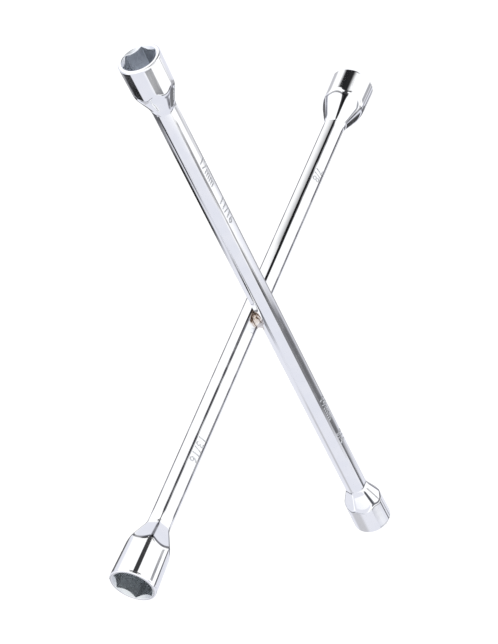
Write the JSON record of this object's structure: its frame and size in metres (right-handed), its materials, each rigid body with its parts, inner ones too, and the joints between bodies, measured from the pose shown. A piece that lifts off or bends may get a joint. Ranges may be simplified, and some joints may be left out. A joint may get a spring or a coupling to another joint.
{
  "type": "lug wrench",
  "caption": "Rigid cross-shaped lug wrench: crossed hexagonal bars welded at the middle, with a hexagonal socket forged on each end.",
  "frame": {"origin": "centre of the wrench's own box, on the plane under the lower bar's sockets; the bars cross 6 mm towards +X and 4.5 mm towards -Y from it", "axes": "+Z square to the cross, with the upper bar on top; +X along the upper bar towards its 19 mm socket; +Y along the lower bar towards its 22 mm socket"},
  "size_m": [0.406, 0.406, 0.0413],
  "materials": {
    "chrome": "bright chrome plate over forged steel, satin grey inside the sockets",
    "weld_steel": "dull weld metal with straw and brown heat tint"
  },
  "bodies": {
    "root": {"upper_bar": "chrome", "lower_bar": "chrome", "weld_fillet_front_left": "weld_steel", "weld_fillet_front_right": "weld_steel", "weld_fillet_back_left": "weld_steel", "weld_fillet_back_right": "weld_steel"}
  },
  "joints": []
}
